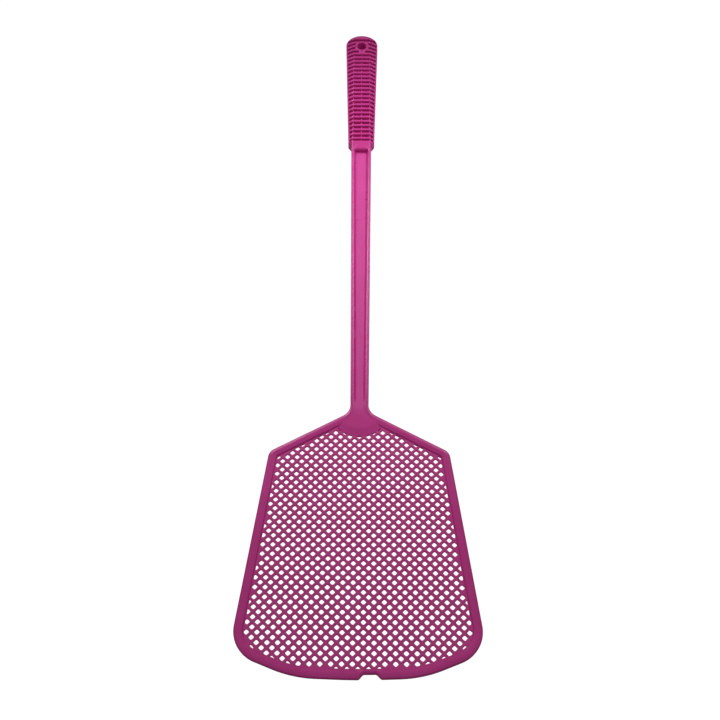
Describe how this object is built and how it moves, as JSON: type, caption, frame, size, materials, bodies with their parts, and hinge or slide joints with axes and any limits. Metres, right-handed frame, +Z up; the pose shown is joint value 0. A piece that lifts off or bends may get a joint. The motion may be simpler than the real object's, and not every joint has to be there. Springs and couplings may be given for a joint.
{
  "type": "fly swatter",
  "caption": "Moulded plastic fly swatter: perforated flat blade with a rounded rim, a slim channel-section shaft and a ribbed grip with a hanging hole.",
  "frame": {"origin": "bottom centre of the swatter's box as it lies flat, under the shaft", "axes": "+Y from the blade towards the grip, +Z up out of the front face, +X to the right with the grip pointing away"},
  "size_m": [0.1174, 0.469, 0.0116],
  "materials": {
    "pink_plastic": "satin gloss, moulded polypropylene"
  },
  "bodies": {
    "root": {"blade_rim": "pink_plastic", "mesh_ribs_front": "pink_plastic", "mesh_ribs_back": "pink_plastic", "neck_plate": "pink_plastic", "shaft_web": "pink_plastic", "shaft_flange_left": "pink_plastic", "shaft_flange_right": "pink_plastic", "grip_shoulder": "pink_plastic", "grip_side_wall": "pink_plastic", "grip_core": "pink_plastic", "hanging_eyelet": "pink_plastic", "grip_fin_01": "pink_plastic", "grip_fin_02": "pink_plastic", "grip_fin_03": "pink_plastic", "grip_fin_04": "pink_plastic", "grip_fin_05": "pink_plastic", "grip_fin_06": "pink_plastic", "grip_fin_07": "pink_plastic", "grip_fin_08": "pink_plastic", "grip_fin_09": "pink_plastic", "grip_fin_10": "pink_plastic", "grip_fin_11": "pink_plastic", "grip_fin_12": "pink_plastic", "grip_fin_13": "pink_plastic", "grip_fin_14": "pink_plastic", "grip_fin_15": "pink_plastic", "grip_fin_16": "pink_plastic", "grip_fin_17": "pink_plastic", "grip_fin_18": "pink_plastic", "grip_fin_19": "pink_plastic", "grip_fin_20": "pink_plastic", "grip_fin_21": "pink_plastic", "grip_fin_22": "pink_plastic", "grip_fin_23_left": "pink_plastic", "grip_fin_23_right": "pink_plastic", "grip_fin_24_left": "pink_plastic", "grip_fin_24_right": "pink_plastic", "grip_fin_25_left": "pink_plastic", "grip_fin_25_right": "pink_plastic"}
  },
  "joints": []
}
